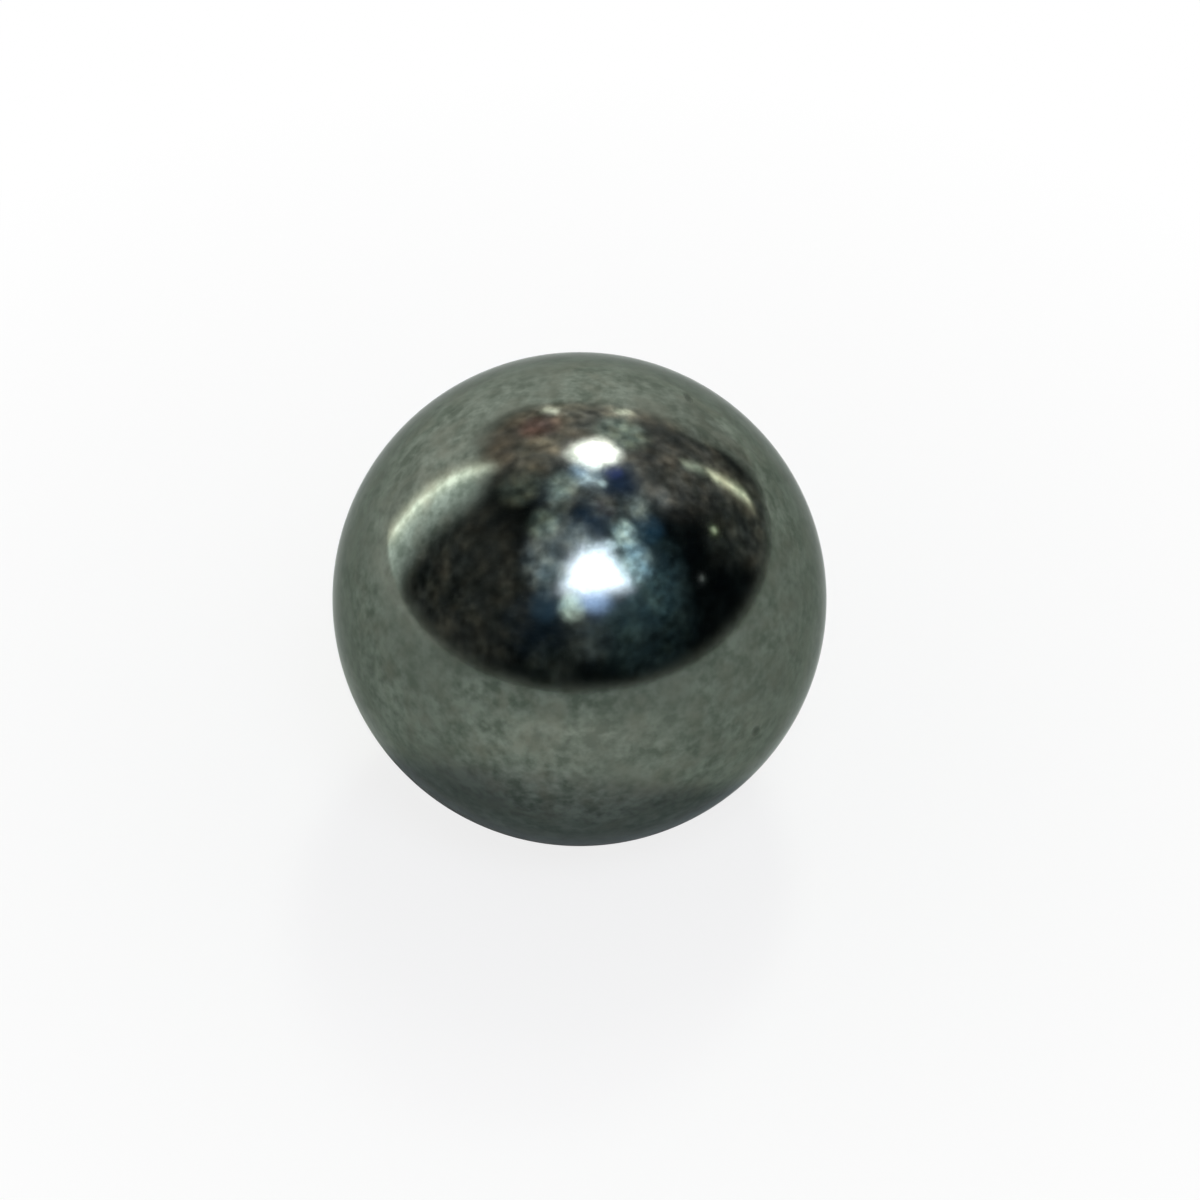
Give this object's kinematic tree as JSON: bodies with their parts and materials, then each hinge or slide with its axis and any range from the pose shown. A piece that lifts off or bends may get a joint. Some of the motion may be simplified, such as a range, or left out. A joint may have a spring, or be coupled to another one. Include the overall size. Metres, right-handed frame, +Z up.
{
  "type": "steel ball",
  "caption": "Solid polished steel ball: a plain true sphere with no bore or flat, used as a rolling element, valve ball, detent ball or weight.",
  "frame": {"origin": "centre of the ball", "axes": "+Z up; every axis through the centre is an axis of symmetry"},
  "size_m": [0.01, 0.01, 0.01],
  "materials": {
    "polished_steel": "polished"
  },
  "bodies": {
    "root": {"ball": "polished_steel"}
  },
  "joints": []
}
